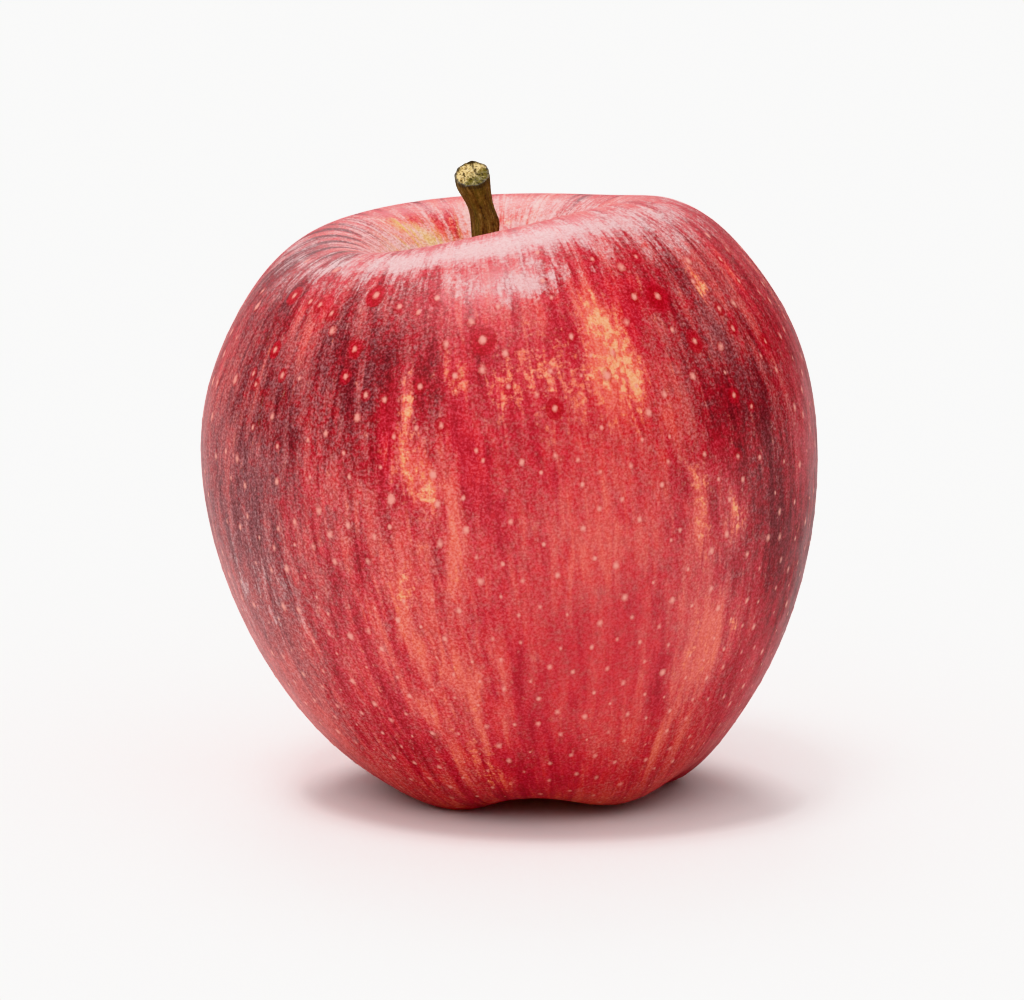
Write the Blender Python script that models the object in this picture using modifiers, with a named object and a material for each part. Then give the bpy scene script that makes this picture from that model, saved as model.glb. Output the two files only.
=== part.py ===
# A ripe red eating apple with its stalk, resting on three of the lobes round its base.
# Everything grows along the core line, which leans, so the pieces are shaped upright
# about that line and then parented to one leaning empty.

import math
import random

import bmesh
import bpy
import numpy as np
from mathutils import Matrix, Vector

MM = 0.001
MERGE_MM = 0.01  # points closer than this are one

# Core line: where it starts at the base, and how far its top leans towards -X.
CORE_FOOT_MM = (4.87, -0.03, 0.22)
CORE_LEAN_DEG = 6.5

# Cage of the fruit's half section, from the stalk's socket over the shoulder and
# the belly to the base and up into the calyx tube: (distance from the core, height).
FRUIT_CAGE_MM = [
    (2.2, 49.5), (2.2, 52.0), (3.0, 55.0), (5.5, 59.0), (9.0, 63.5), (13.0, 68.5),
    (19.2, 72.0), (26.5, 68.6), (31.5, 62.5), (37.0, 52.5), (38.2, 40.5),
    (36.0, 27.0), (30.5, 14.3), (23.8, 5.6), (19.0, 1.8), (13.8, 0.4),
    (8.8, 1.2), (5.8, 5.2), (4.3, 9.0), (3.7, 12.0), (3.7, 14.5),
]
SECTION_POINTS = 44
SECTION_STEPS = 72

# The five lobes stand 72 degrees apart. A ring's five numbers are its values over them,
# from the front left lobe counter-clockwise, seen from above.
LOBES = 5
FIRST_LOBE_DEG = 226.0
RIM_RING_MM = (18.5, 70.5)
RIM_REACH_MM = 14.0
RIM_LIFT_MM = (-1.0, 1.2, -0.4, -0.6, -0.1)
RIM_LOBE_MM = 0.25
BELLY_RING_MM = (37.5, 40.0)
BELLY_REACH_MM = 34.0
BELLY_SWELL_MM = (0.3, -0.1, -0.3, 0.3, -0.1)
BASE_RING_MM = (14.0, 1.0)
BASE_REACH_MM = 11.0
BASE_SPREAD_MM = (0.1, 1.6, -0.6, 0.1, -0.2)
BASE_LOBE_MM = 0.5
FOOT_REACH_MM = 8.0
FOOT_DROP_MM = (-0.6, 0.0, 2.0, -0.1, -0.95)
FOOT_LOBE_MM = 0.8
PLAIN_CORE_MM = 3.0
PLAIN_FADE_MM = 5.0

# Stalk: centre line and half thickness, then its slanting cut end.
STALK_LINE_MM = [
    (0.0, 0.0, 49.8, 1.90), (0.0, 0.0, 54.0, 1.80), (0.1, 0.1, 59.0, 1.65),
    (0.0, 0.1, 64.0, 1.58), (-0.24, 0.0, 67.3, 1.60), (0.04, 0.0, 70.2, 1.66),
    (-0.28, 0.0, 72.2, 1.44), (-0.86, 0.0, 74.3, 2.03), (-0.86, 0.0, 76.5, 2.18),
    (-0.86, 0.0, 78.8, 2.28),
]
STALK_FLUTES = 5
STALK_FLUTE_DEPTH = 0.06
STALK_CUT_AT_MM = (-0.7, 0.0, 75.9)
STALK_CUT_LEAN_DEG = 30.0
STALK_SIDE_POINTS = 24
STALK_ROUND = 4

# Calyx: five dried sepals on a ring in the mouth of the calyx tube.
SEPAL_RING_MM = (2.9, 10.9)
SEPAL_RING_HALF_MM = 0.42
SEPAL_RING_SEGMENTS = (30, 8)
SEPAL_LINE_MM = [(2.95, 11.0), (2.7, 9.2), (2.0, 7.4), (1.7, 5.8), (2.6, 4.4), (3.9, 3.9)]
SEPAL_HALF_WIDTH_MM = [1.5, 1.45, 1.05, 0.85, 0.6, 0.25]
SEPAL_THICKNESS_MM = 0.6
SEPAL_CUP = 0.22
SEPAL_STATIONS = 7

# Stamens: a tuft of withered threads on a disc behind the calyx.
STAMEN_DISC_MM = (3.3, 12.1, 14.1)
STAMEN_DISC_SIDES = 24
STAMENS = 11
STAMEN_SIDES = 5
STAMEN_HALF_MM = 0.28        # at the tip
STAMEN_ROOT_SHARE = 0.6      # half thickness at the root, as a share of that
STAMEN_LENGTH_MM = 3.6
STAMEN_LENGTH_SHARE = (0.8, 1.0)
STAMEN_SUNK_MM = 0.6         # how far each root is sunk in the disc
STAMEN_SPREAD_MM = (1.1, 1.7)
STAMEN_TIP_SHARE = (0.35, 0.8)
STAMEN_SWAY_SHARE = 0.2
STAMEN_SEED = 7


def clear_scene():
    for thing in list(bpy.data.objects):
        bpy.data.objects.remove(thing, do_unlink=True)


def new_material(name, colour, roughness):
    material = bpy.data.materials.new(name)
    material.use_nodes = True
    shader = material.node_tree.nodes["Principled BSDF"]
    shader.inputs["Base Color"].default_value = (*colour, 1.0)
    shader.inputs["Roughness"].default_value = roughness
    shader.inputs["Metallic"].default_value = 0.0
    return material


def finish(thing, material, parent, sharp_deg=50.0):
    thing.data.materials.clear()
    thing.data.materials.append(material)
    thing.data.shade_smooth()
    thing.data.set_sharp_from_angle(angle=math.radians(sharp_deg))
    thing.parent = parent


def new_object(name, mesh, collection):
    thing = bpy.data.objects.new(name, mesh)
    collection.objects.link(thing)
    return thing


def applied_mesh(thing):
    """The object's mesh with its modifiers applied; the object itself is removed."""
    bpy.context.view_layer.update()
    graph = bpy.context.evaluated_depsgraph_get()
    mesh = bpy.data.meshes.new_from_object(thing.evaluated_get(graph))
    bpy.data.objects.remove(thing, do_unlink=True)
    return mesh


def smooth_curve(cage, count):
    """Points on the uniform cubic B-spline of a cage, from its first point to its last."""
    cage = np.asarray(cage, float)
    held = np.vstack([2 * cage[0] - cage[1], cage, 2 * cage[-1] - cage[-2]])
    spans = len(cage) - 1
    place = np.linspace(0, spans, count)
    span = np.minimum(place.astype(int), spans - 1)
    t = (place - span)[:, None]
    return (
        (1 - t) ** 3 * held[span]
        + (3 * t ** 3 - 6 * t ** 2 + 4) * held[span + 1]
        + (-3 * t ** 3 + 3 * t ** 2 + 3 * t + 1) * held[span + 2]
        + t ** 3 * held[span + 3]
    ) / 6


def around(values, azimuth):
    """One value over each lobe, carried smoothly round from lobe to lobe."""
    total = np.zeros_like(azimuth)
    for lobe, value in enumerate(values):
        turn = azimuth - math.radians(FIRST_LOBE_DEG + 360 / LOBES * lobe)
        total += value * (1 + 2 * np.cos(turn) + 2 * np.cos(2 * turn)) / LOBES
    return total


def closeness(radius, height, ring, reach):
    """1 on a ring of the surface, fading to 0 away from it."""
    away = (radius - ring[0]) ** 2 + (height - ring[1]) ** 2
    return np.exp(-away / reach ** 2)


def shape_fruit(points):
    """Turn the round fruit into a lobed, uneven one. Points are rows of x, y, z in mm."""
    x, y, height = points.T
    azimuth = np.arctan2(y, x)
    radius = np.hypot(x, y)
    free = np.clip((radius - PLAIN_CORE_MM) / PLAIN_FADE_MM, 0, 1)
    rim = free * closeness(radius, height, RIM_RING_MM, RIM_REACH_MM)
    belly = free * closeness(radius, height, BELLY_RING_MM, BELLY_REACH_MM)
    base = free * closeness(radius, height, BASE_RING_MM, BASE_REACH_MM)
    foot = free * closeness(radius, height, BASE_RING_MM, FOOT_REACH_MM)
    lobed = np.cos(LOBES * (azimuth - math.radians(FIRST_LOBE_DEG)))

    outward = belly * around(BELLY_SWELL_MM, azimuth)
    outward += base * (around(BASE_SPREAD_MM, azimuth) + BASE_LOBE_MM * lobed)
    outward += rim * RIM_LOBE_MM * lobed
    upward = rim * around(RIM_LIFT_MM, azimuth)
    upward -= foot * (around(FOOT_DROP_MM, azimuth) + FOOT_LOBE_MM * lobed)
    radius = radius + outward
    return np.column_stack([radius * np.cos(azimuth), radius * np.sin(azimuth), height + upward])


def cut_flat(mesh, point, normal):
    """Cut away what lies beyond a plane and close the openings with flat faces."""
    work = bmesh.new()
    work.from_mesh(mesh)
    parts = work.verts[:] + work.edges[:] + work.faces[:]
    bmesh.ops.bisect_plane(work, geom=parts, plane_co=point, plane_no=normal, clear_outer=True)
    rims = [edge for edge in work.edges if edge.is_boundary]
    bmesh.ops.holes_fill(work, edges=rims)
    bmesh.ops.recalc_face_normals(work, faces=work.faces)
    work.to_mesh(mesh)
    work.free()


def make_fruit(collection, core, material):
    section = smooth_curve(FRUIT_CAGE_MM, SECTION_POINTS)
    socket_floor = (0.0, section[0][1])
    tube_end = (0.0, section[-1][1])
    outline = np.vstack([socket_floor, section, tube_end])
    mesh = bpy.data.meshes.new("fruit")
    points = [(radius * MM, 0.0, height * MM) for radius, height in outline]
    mesh.from_pydata(points, [(i, i + 1) for i in range(len(points) - 1)], [])
    turned = new_object("fruit_section", mesh, collection)
    screw = turned.modifiers.new("Screw", "SCREW")
    screw.steps = SECTION_STEPS
    screw.render_steps = SECTION_STEPS
    screw.use_merge_vertices = True
    screw.merge_threshold = MERGE_MM * MM

    mesh = applied_mesh(turned)
    flat = np.empty(len(mesh.vertices) * 3, np.float32)
    mesh.vertices.foreach_get("co", flat)
    shaped = shape_fruit(flat.reshape(-1, 3).astype(float) / MM) * MM
    mesh.vertices.foreach_set("co", shaped.astype(np.float32).ravel())

    to_core = core.matrix_world.inverted()
    down = to_core.to_3x3() @ Vector((0, 0, -1))
    cut_flat(mesh, to_core @ Vector((0, 0, 0)), down)
    finish(new_object("fruit", mesh, collection), material, core)


def make_stalk(collection, core, material):
    curve = bpy.data.curves.new("stem", "CURVE")
    curve.dimensions = "3D"
    curve.bevel_depth = MM
    curve.bevel_resolution = STALK_ROUND
    curve.use_fill_caps = True
    spline = curve.splines.new("POLY")
    line = smooth_curve(STALK_LINE_MM, STALK_SIDE_POINTS)
    spline.points.add(len(line) - 1)
    for point, (x, y, height, half) in zip(spline.points, line):
        point.co = (x * MM, y * MM, height * MM, 1.0)
        point.radius = half
    mesh = applied_mesh(new_object("stem_line", curve, collection))

    work = bmesh.new()
    work.from_mesh(mesh)
    bmesh.ops.remove_doubles(work, verts=work.verts, dist=MERGE_MM * MM)
    heights = line[:, 2] * MM
    for vert in work.verts:
        middle = Vector((np.interp(vert.co.z, heights, line[:, 0]) * MM,
                         np.interp(vert.co.z, heights, line[:, 1]) * MM))
        reach = vert.co.xy - middle
        turn = math.atan2(reach.y, reach.x)
        flute = 1 - STALK_FLUTE_DEPTH * (1 + math.cos(STALK_FLUTES * turn))
        vert.co.xy = middle + reach * flute
    work.to_mesh(mesh)
    work.free()

    lean = math.radians(STALK_CUT_LEAN_DEG)
    cut_flat(mesh, Vector(STALK_CUT_AT_MM) * MM, Vector((0, -math.sin(lean), math.cos(lean))))
    cut_flat(mesh, Vector(STALK_LINE_MM[0][:3]) * MM, Vector((0, 0, -1)))
    finish(new_object("stem", mesh, collection), material, core)


def sepal(name, turn, collection):
    """One dried sepal: a tapering strip that bends inwards and turns back at its tip."""
    line = smooth_curve(SEPAL_LINE_MM, SEPAL_STATIONS)
    halves = smooth_curve([[half] for half in SEPAL_HALF_WIDTH_MM], SEPAL_STATIONS)[:, 0]
    last = SEPAL_STATIONS - 1
    work = bmesh.new()
    bmesh.ops.create_grid(work, x_segments=2, y_segments=last, size=1.0)
    for vert in work.verts:
        step = round((vert.co.y + 1) / 2 * last)
        across = vert.co.x
        radius = line[step][0] + SEPAL_CUP * halves[step] * across * across
        side = halves[step] * across
        vert.co = Vector((radius, side, line[step][1])) * MM
    bmesh.ops.rotate(work, verts=work.verts, matrix=Matrix.Rotation(turn, 3, "Z"))
    mesh = bpy.data.meshes.new(name)
    work.to_mesh(mesh)
    work.free()
    blade = new_object(name, mesh, collection)
    shell = blade.modifiers.new("Solidify", "SOLIDIFY")
    shell.thickness = SEPAL_THICKNESS_MM * MM
    shell.offset = 0.0
    soft = blade.modifiers.new("Subdivision", "SUBSURF")
    soft.levels = 1
    soft.render_levels = 1
    return blade


def fused(name, base, pieces, collection):
    """One mesh from a base object and the collection of pieces that grow from it."""
    join = base.modifiers.new("Union", "BOOLEAN")
    join.operation = "UNION"
    join.operand_type = "COLLECTION"
    join.collection = pieces
    join.solver = "MANIFOLD"
    mesh = applied_mesh(base)
    mesh.name = name
    for piece in list(pieces.objects):
        bpy.data.objects.remove(piece, do_unlink=True)
    bpy.data.collections.remove(pieces)
    return new_object(name, mesh, collection)


def helper_collection(name):
    collection = bpy.data.collections.new(name)
    bpy.context.scene.collection.children.link(collection)
    return collection


def make_calyx(collection, core, material):
    radius, height = SEPAL_RING_MM
    bpy.ops.mesh.primitive_torus_add(
        major_radius=radius * MM, minor_radius=SEPAL_RING_HALF_MM * MM,
        major_segments=SEPAL_RING_SEGMENTS[0], minor_segments=SEPAL_RING_SEGMENTS[1],
        location=(0, 0, height * MM))
    ring = bpy.context.object
    bpy.ops.object.transform_apply()
    blades = helper_collection("sepals")
    for lobe in range(LOBES):
        sepal(f"sepal_{lobe}", 2 * math.pi / LOBES * (lobe + 0.5), blades)
    finish(fused("calyx", ring, blades, collection), material, core)


def make_stamens(collection, core, material):
    radius, low, high = STAMEN_DISC_MM
    bpy.ops.mesh.primitive_cylinder_add(
        vertices=STAMEN_DISC_SIDES, radius=radius * MM, depth=(high - low) * MM,
        location=(0, 0, (low + high) / 2 * MM))
    disc = bpy.context.object
    bpy.ops.object.transform_apply()
    threads = helper_collection("threads")
    draw = random.Random(STAMEN_SEED)
    for number in range(STAMENS):
        sway = draw.uniform(-STAMEN_SWAY_SHARE, STAMEN_SWAY_SHARE)
        turn = 2 * math.pi * (number + sway) / STAMENS
        root = STAMEN_SPREAD_MM[number % 2]
        tip = root * draw.uniform(*STAMEN_TIP_SHARE)
        length = STAMEN_LENGTH_MM * draw.uniform(*STAMEN_LENGTH_SHARE) + STAMEN_SUNK_MM
        bpy.ops.mesh.primitive_cone_add(
            vertices=STAMEN_SIDES, radius1=STAMEN_HALF_MM * STAMEN_ROOT_SHARE * MM,
            radius2=STAMEN_HALF_MM * MM, depth=length * MM)
        thread = bpy.context.object
        for vert in thread.data.vertices:
            down = length / 2 - vert.co.z / MM
            reach = root + (tip - root) * down / length
            vert.co.x += reach * MM * math.cos(turn)
            vert.co.y += reach * MM * math.sin(turn)
            vert.co.z = (low + STAMEN_SUNK_MM - down) * MM
        for owner in list(thread.users_collection):
            owner.objects.unlink(thread)
        threads.objects.link(thread)
    finish(fused("stamens", disc, threads, collection), material, core)


def main():
    clear_scene()
    collection = helper_collection("red_apple")
    core = bpy.data.objects.new("core", None)
    collection.objects.link(core)
    core.location = Vector(CORE_FOOT_MM) * MM
    core.rotation_euler.y = -math.radians(CORE_LEAN_DEG)
    bpy.context.view_layer.update()

    make_fruit(collection, core, new_material("apple_skin", (0.42, 0.02, 0.03), 0.28))
    make_stalk(collection, core, new_material("stalk_bark", (0.16, 0.10, 0.05), 0.65))
    make_calyx(collection, core, new_material("dry_sepal", (0.13, 0.08, 0.04), 0.8))
    make_stamens(collection, core, new_material("dry_stamen", (0.08, 0.05, 0.03), 0.85))


main()
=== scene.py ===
import math

import bpy
import numpy as np
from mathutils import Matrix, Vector


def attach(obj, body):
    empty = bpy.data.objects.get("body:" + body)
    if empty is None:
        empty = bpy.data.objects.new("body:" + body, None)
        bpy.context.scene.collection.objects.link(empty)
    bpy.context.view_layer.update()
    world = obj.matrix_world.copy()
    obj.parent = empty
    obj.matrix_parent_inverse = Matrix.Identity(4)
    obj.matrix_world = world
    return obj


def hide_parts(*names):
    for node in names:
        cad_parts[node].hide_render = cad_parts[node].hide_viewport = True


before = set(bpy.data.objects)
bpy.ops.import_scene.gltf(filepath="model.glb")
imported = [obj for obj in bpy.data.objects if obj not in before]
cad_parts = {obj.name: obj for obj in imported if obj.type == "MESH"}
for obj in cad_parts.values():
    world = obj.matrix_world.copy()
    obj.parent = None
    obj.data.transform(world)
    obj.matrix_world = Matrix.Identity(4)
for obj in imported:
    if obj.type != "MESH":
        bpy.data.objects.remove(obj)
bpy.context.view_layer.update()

mm = 0.001
print("frame loaded")


# helpers for fields over the surface

def bell(value, middle, spread):
    return np.exp(-((value - middle) / spread) ** 2)


def rise(value, start, length):
    # climbs from 0 at the start to 1 a length further on, or further back
    return np.clip((value - start) / length, 0, 1)


def turnFrom(azimuthDeg, middleDeg):
    return (azimuthDeg - middleDeg + 180) % 360 - 180


def facing(azimuth, middleDeg, spreadDeg):
    return bell(turnFrom(np.degrees(azimuth), middleDeg), 0, spreadDeg)


def smoothCurve(cage, count):
    cage = np.asarray(cage, float)
    held = np.vstack([2 * cage[0] - cage[1], cage, 2 * cage[-1] - cage[-2]])
    spans = len(cage) - 1
    place = np.linspace(0, spans, count)
    span = np.minimum(place.astype(int), spans - 1)
    t = (place - span)[:, None]
    return (
        (1 - t) ** 3 * held[span]
        + (3 * t ** 3 - 6 * t ** 2 + 4) * held[span + 1]
        + (-3 * t ** 3 + 3 * t ** 2 + 3 * t + 1) * held[span + 2]
        + t ** 3 * held[span + 3]
    ) / 6


# helpers for nodes, in materials and in Geometry Nodes

def addNode(tree, kind, inputs=None, **settings):
    made = tree.nodes.new(kind)
    for name, value in settings.items():
        setattr(made, name, value)
    for name, value in (inputs or {}).items():
        if isinstance(value, bpy.types.NodeSocket):
            tree.links.new(value, made.inputs[name])
        else:
            made.inputs[name].default_value = value
    return made.outputs


def calc(tree, operation, first, second=0.0, third=0.0, clamp=False):
    return addNode(tree, "ShaderNodeMath", {0: first, 1: second, 2: third},
                   operation=operation, use_clamp=clamp)[0]


def times(tree, first, *others):
    for other in others:
        first = calc(tree, "MULTIPLY", first, other)
    return first


def weigh(tree, total, values, weights, clamp=False):
    # the total and each value times its weight
    pairs = [pair for pair in zip(values, weights) if pair[1]]
    for value, weight in pairs[:-1]:
        total = calc(tree, "MULTIPLY_ADD", value, weight, total)
    return calc(tree, "MULTIPLY_ADD", *pairs[-1], total, clamp=clamp)


def remap(tree, value, fromLow, fromHigh, toLow=0.0, toHigh=1.0, kind="SMOOTHSTEP"):
    return addNode(tree, "ShaderNodeMapRange", {
        "Value": value, "From Min": fromLow, "From Max": fromHigh,
        "To Min": toLow, "To Max": toHigh}, interpolation_type=kind)["Result"]


def noise(tree, vector, scale, detail=2.0, roughness=0.5, distortion=0.0):
    return addNode(tree, "ShaderNodeTexNoise", {
        "Vector": vector, "Scale": scale, "Detail": detail,
        "Roughness": roughness, "Distortion": distortion})[0]


def centred(tree, value):
    return calc(tree, "SUBTRACT", value, 0.5)


def split(tree, vector):
    return addNode(tree, "ShaderNodeSeparateXYZ", {0: vector})


def combine(tree, x=0.0, y=0.0, z=0.0):
    return addNode(tree, "ShaderNodeCombineXYZ", {0: x, 1: y, 2: z})[0]


def stretched(tree, vector, factors):
    return addNode(tree, "ShaderNodeVectorMath", {0: vector, 1: factors}, operation="MULTIPLY")[0]


def scaled(tree, vector, amount):
    return addNode(tree, "ShaderNodeVectorMath", {0: vector, "Scale": amount}, operation="SCALE")["Vector"]


# helpers for materials

def blendColour(tree, amount, first, second):
    made = tree.nodes.new("ShaderNodeMix")
    made.data_type = "RGBA"
    for socket, value in zip((made.inputs[0], made.inputs[6], made.inputs[7]), (amount, first, second)):
        if isinstance(value, bpy.types.NodeSocket):
            tree.links.new(value, socket)
        else:
            socket.default_value = (*value, 1.0)
    return made.outputs[2]


def layer(tree, colour, over, value, low, high, most=1.0):
    # one colour laid over another, from where the value is low to where it is high
    return blendColour(tree, remap(tree, value, low, high, 0.0, most), colour, over)


def objectPlace(tree):
    return addNode(tree, "ShaderNodeTexCoord")["Object"]


def attributeOf(tree, name):
    return addNode(tree, "ShaderNodeAttribute", attribute_name=name)["Vector"]


def colourRamp(tree, value, stops):
    ramp = tree.nodes.new("ShaderNodeValToRGB")
    tree.links.new(value, ramp.inputs["Fac"])
    ramp.color_ramp.interpolation = "B_SPLINE"
    while len(ramp.color_ramp.elements) < len(stops):
        ramp.color_ramp.elements.new(0.5)
    for element, (place, colour) in zip(ramp.color_ramp.elements, stops):
        element.position = place
        element.color = (*colour, 1.0)
    return ramp.outputs["Color"]


def newMaterial(name, roughness):
    material = bpy.data.materials.new(name)
    material.use_nodes = True
    tree = material.node_tree
    shader = tree.nodes["Principled BSDF"]
    shader.inputs["Roughness"].default_value = roughness
    return material, tree, shader


def addBump(tree, shader, height, distance, strength):
    bump = addNode(tree, "ShaderNodeBump", {"Height": height, "Distance": distance, "Strength": strength})
    tree.links.new(bump[0], shader.inputs["Normal"])


# helpers for meshes

def newPiece(name, mesh, material=None):
    piece = bpy.data.objects.new(name, mesh)
    bpy.context.scene.collection.objects.link(piece)
    if material:
        mesh.materials.append(material)
    return piece


def gridMesh(name, points):
    # points[turn, row]: rows run along the piece, turns run once round it
    turns, rows = points.shape[:2]
    index = np.arange(turns * rows).reshape(turns, rows)
    after = np.roll(index, -1, axis=0)
    quads = np.stack([index[:, :-1], index[:, 1:], after[:, 1:], after[:, :-1]], -1)
    faces = quads.reshape(-1, 4).tolist()
    corners = points.reshape(-1, 3)
    start, end = len(corners), len(corners) + 1
    corners = np.vstack([corners, points[:, 0].mean(0), points[:, -1].mean(0)])
    for turn in range(turns):
        faces.append([index[turn, 0], after[turn, 0], start])
        faces.append([after[turn, -1], index[turn, -1], end])
    mesh = bpy.data.meshes.new(name)
    mesh.from_pydata(corners.tolist(), [], faces)
    mesh.shade_smooth()
    return mesh


def storeVectors(mesh, name, parts, ends=None):
    # three fields as one vector at each point of a grid mesh, and its values at the two ends
    values = np.stack(parts, -1).reshape(-1, 3)
    values = np.vstack([values, ends if ends else (values[0], values[-1])])
    attribute = mesh.attributes.new(name, "FLOAT_VECTOR", "POINT")
    attribute.data.foreach_set("vector", np.ascontiguousarray(values, np.float32).ravel())


# helpers for Geometry Nodes

socketKinds = {int: "Int", float: "Float", tuple: "Vector",
               bpy.types.Object: "Object", bpy.types.Material: "Material"}


def newTree(name, values):
    # a group with the geometry in and out, and a named input for each of the values
    tree = bpy.data.node_groups.new(name, "GeometryNodeTree")
    tree.interface.new_socket("Geometry", in_out="INPUT", socket_type="NodeSocketGeometry")
    tree.interface.new_socket("Geometry", in_out="OUTPUT", socket_type="NodeSocketGeometry")
    for label, value in values.items():
        kind = "NodeSocket" + socketKinds[type(value)]
        tree.interface.new_socket(label, in_out="INPUT", socket_type=kind)
    start = tree.nodes.new("NodeGroupInput")
    end = tree.nodes.new("NodeGroupOutput")
    return tree, start.outputs, end.inputs


def change(tree, kind, geometry, inputs=None, **settings):
    # a node that takes geometry in and gives it out changed
    given = {"Geometry": geometry, **(inputs or {})}
    return addNode(tree, "GeometryNode" + kind, given, **settings)["Geometry"]


def named(tree, name, kind="FLOAT"):
    return addNode(tree, "GeometryNodeInputNamedAttribute", {"Name": name}, data_type=kind)["Attribute"]


def storeNamed(tree, geometry, name, value, kind="FLOAT"):
    return change(tree, "StoreNamedAttribute", geometry, {"Name": name, "Value": value},
                  data_type=kind, domain="POINT")


def randomValue(tree, low, high, seed):
    # a random vector where low and high are vectors, otherwise a random number
    isVector = isinstance(low, tuple)
    return addNode(tree, "FunctionNodeRandomValue", {"Min": low, "Max": high, "Seed": seed},
                   data_type="FLOAT_VECTOR" if isVector else "FLOAT")[0 if isVector else 1]


def standOn(tree, points, instance, rotation, scale):
    # a copy of the instance at each point, as plain mesh
    placed = addNode(tree, "GeometryNodeInstanceOnPoints", {
        "Points": points, "Instance": instance, "Rotation": rotation, "Scale": scale})["Instances"]
    return change(tree, "RealizeInstances", placed)


def joinParts(tree, *parts):
    joined = tree.nodes.new("GeometryNodeJoinGeometry")
    for part in parts:
        tree.links.new(part, joined.inputs[0])
    return joined.outputs[0]


def leanWithCore(tree, given, geometry):
    return change(tree, "Transform", geometry, {
        "Translation": given["Foot"], "Rotation": combine(tree, y=given["Lean"])})


def finishTree(tree, given, result, geometry):
    smooth = change(tree, "SetShadeSmooth", geometry, {"Shade Smooth": True})
    plain = change(tree, "RealizeInstances", smooth)
    dressed = change(tree, "SetMaterial", plain, {"Material": given["Material"]})
    tree.links.new(dressed, result["Geometry"])
    return tree


def grow(name, base, makeTree, values):
    # runs a tree on a base mesh and keeps the result as a plain mesh
    tree = makeTree(values)
    holder = newPiece(name, base)
    modifier = holder.modifiers.new(tree.name, "NODES")
    modifier.node_group = tree
    sockets = {item.name: item.identifier for item in tree.interface.items_tree if item.in_out == "INPUT"}
    for label, value in values.items():
        modifier[sockets[label]] = value
    bpy.context.view_layer.update()
    graph = bpy.context.evaluated_depsgraph_get()
    mesh = bpy.data.meshes.new_from_object(holder.evaluated_get(graph))
    holder.modifiers.remove(modifier)
    holder.data = mesh
    mesh.name = name
    return holder


# the fruit's form, the same as the solid's

coreLine = {
    "foot": (4.87, -0.03, 0.22),  # where it meets the base, in mm
    "leanDeg": 6.5,               # how far its top leans to the left
}

fruitForm = {
    "cage": [  # half section in mm: distance from the core line, height
        (2.2, 49.5), (2.2, 52.0), (3.0, 55.0), (5.5, 59.0), (9.0, 63.5), (13.0, 68.5),
        (19.2, 72.0), (26.5, 68.6), (31.5, 62.5), (37.0, 52.5), (38.2, 40.5),
        (36.0, 27.0), (30.5, 14.3), (23.8, 5.6), (19.0, 1.8), (13.8, 0.4),
        (8.8, 1.2), (5.8, 5.2), (4.3, 9.0), (3.7, 12.0), (3.7, 14.5),
    ],
    "lobes": 5,
    "firstLobeDeg": 226.0,
    # each zone is a ring of the section, and how far round it the lobes push the skin
    "rim": {"ring": (18.5, 70.5), "reach": 14.0, "lift": (-1.0, 1.2, -0.4, -0.6, -0.1), "lobe": 0.25},
    "belly": {"ring": (37.5, 40.0), "reach": 34.0, "swell": (0.3, -0.1, -0.3, 0.3, -0.1)},
    "base": {"ring": (14.0, 1.0), "reach": 11.0, "spread": (0.1, 1.6, -0.6, 0.1, -0.2), "lobe": 0.5},
    "foot": {"ring": (14.0, 1.0), "reach": 8.0, "drop": (-0.6, 0.0, 2.0, -0.1, -0.95), "lobe": 0.8},
    "plainCore": 3.0,             # no lobes this near the core line, in mm
    "plainFade": 5.0,
    "turns": 360,
    "rows": 230,
    "dents": {"depth": 0.10, "waves": 14, "seed": 4},  # soft unevenness of the skin, in mm
}


def aroundLobes(values, azimuth):
    total = np.zeros_like(azimuth)
    for lobe, value in enumerate(values):
        turn = azimuth - math.radians(fruitForm["firstLobeDeg"] + 72 * lobe)
        total += value * (1 + 2 * np.cos(turn) + 2 * np.cos(2 * turn)) / fruitForm["lobes"]
    return total


def shapeFruit(azimuth, radius, height):
    form = fruitForm
    rim, belly, base, foot = (form[zone] for zone in ("rim", "belly", "base", "foot"))
    free = rise(radius, form["plainCore"], form["plainFade"])
    lobed = np.cos(form["lobes"] * (azimuth - math.radians(form["firstLobeDeg"])))

    def near(zone):
        ringRadius, ringHeight = zone["ring"]
        return free * np.exp(-((radius - ringRadius) ** 2 + (height - ringHeight) ** 2) / zone["reach"] ** 2)

    outward = near(belly) * aroundLobes(belly["swell"], azimuth)
    outward = outward + near(base) * (aroundLobes(base["spread"], azimuth) + base["lobe"] * lobed)
    outward = outward + near(rim) * rim["lobe"] * lobed
    upward = near(rim) * aroundLobes(rim["lift"], azimuth)
    upward = upward - near(foot) * (aroundLobes(foot["drop"], azimuth) + foot["lobe"] * lobed)
    pushed = radius + outward
    return np.stack([pushed * np.cos(azimuth), pushed * np.sin(azimuth), height + upward], -1)


def leanOver(points):
    # from the upright core line, in mm, to its leaning place, in metres
    lean = math.radians(coreLine["leanDeg"])
    x, y, z = np.moveaxis(np.asarray(points, float), -1, 0)
    across = x * math.cos(lean) - z * math.sin(lean)
    upward = x * math.sin(lean) + z * math.cos(lean)
    return (np.stack([across, y, upward], -1) + np.array(coreLine["foot"])) * mm


def coreInputs():
    foot = tuple(value * mm for value in coreLine["foot"])
    return {"Lean": -math.radians(coreLine["leanDeg"]), "Foot": foot}


def fruitSection():
    # the half section, and how far along its length each of its points is
    section = smoothCurve(fruitForm["cage"], fruitForm["rows"])
    steps = np.hypot(*np.diff(section, axis=0).T)
    return section, np.concatenate([[0], np.cumsum(steps)]) / steps.sum()


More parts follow.
